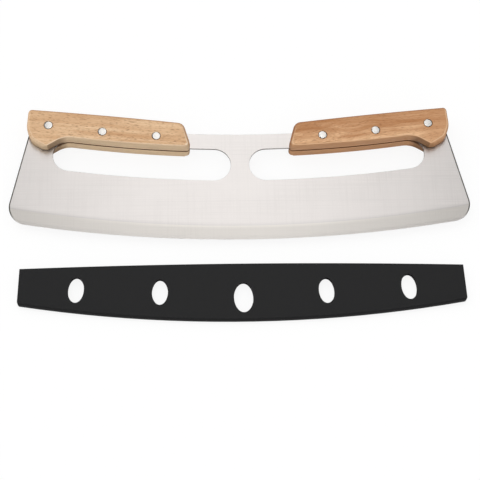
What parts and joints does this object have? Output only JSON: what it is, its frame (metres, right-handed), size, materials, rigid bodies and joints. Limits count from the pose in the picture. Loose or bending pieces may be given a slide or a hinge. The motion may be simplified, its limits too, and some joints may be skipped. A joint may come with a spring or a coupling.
{
  "type": "rocking pizza knife",
  "caption": "Wide rocking knife with a curved steel edge, finger slots under riveted beech handles, and a black slide-on edge cover with oval holes.",
  "frame": {"origin": "middle of the footprint, on the surface that the rear scales lie on, with the cover taken off", "axes": "+X along the blade, +Y from the cutting edge up to the handles, +Z out of the front face"},
  "size_m": [0.3556, 0.1744, 0.019],
  "materials": {
    "blade_steel": "satin, brushed along and across the blade",
    "light_beech": "oiled light beech with short dark flecks",
    "red_beech": "oiled reddish beech",
    "rivet_metal": "turned, lightly polished",
    "cover_plastic": "fine satin, moulded"
  },
  "bodies": {
    "knife": {"blade": "blade_steel", "left_front_scale": "light_beech", "left_rear_scale": "light_beech", "right_front_scale": "red_beech", "right_rear_scale": "red_beech", "left_inner_rivet_barrel": "rivet_metal", "left_middle_rivet_barrel": "rivet_metal", "left_outer_rivet_barrel": "rivet_metal", "right_inner_rivet_barrel": "rivet_metal", "right_middle_rivet_barrel": "rivet_metal", "right_outer_rivet_barrel": "rivet_metal", "left_inner_rivet_pin": "rivet_metal", "left_middle_rivet_pin": "rivet_metal", "left_outer_rivet_pin": "rivet_metal", "right_inner_rivet_pin": "rivet_metal", "right_middle_rivet_pin": "rivet_metal", "right_outer_rivet_pin": "rivet_metal"},
    "cover": {"blade_cover": "cover_plastic"}
  },
  "joints": [
    {"name": "cover_slide", "type": "slide", "parent": "knife", "child": "cover", "axis": [0, 1, 0], "range_m": [0, 0.0632]}
  ]
}
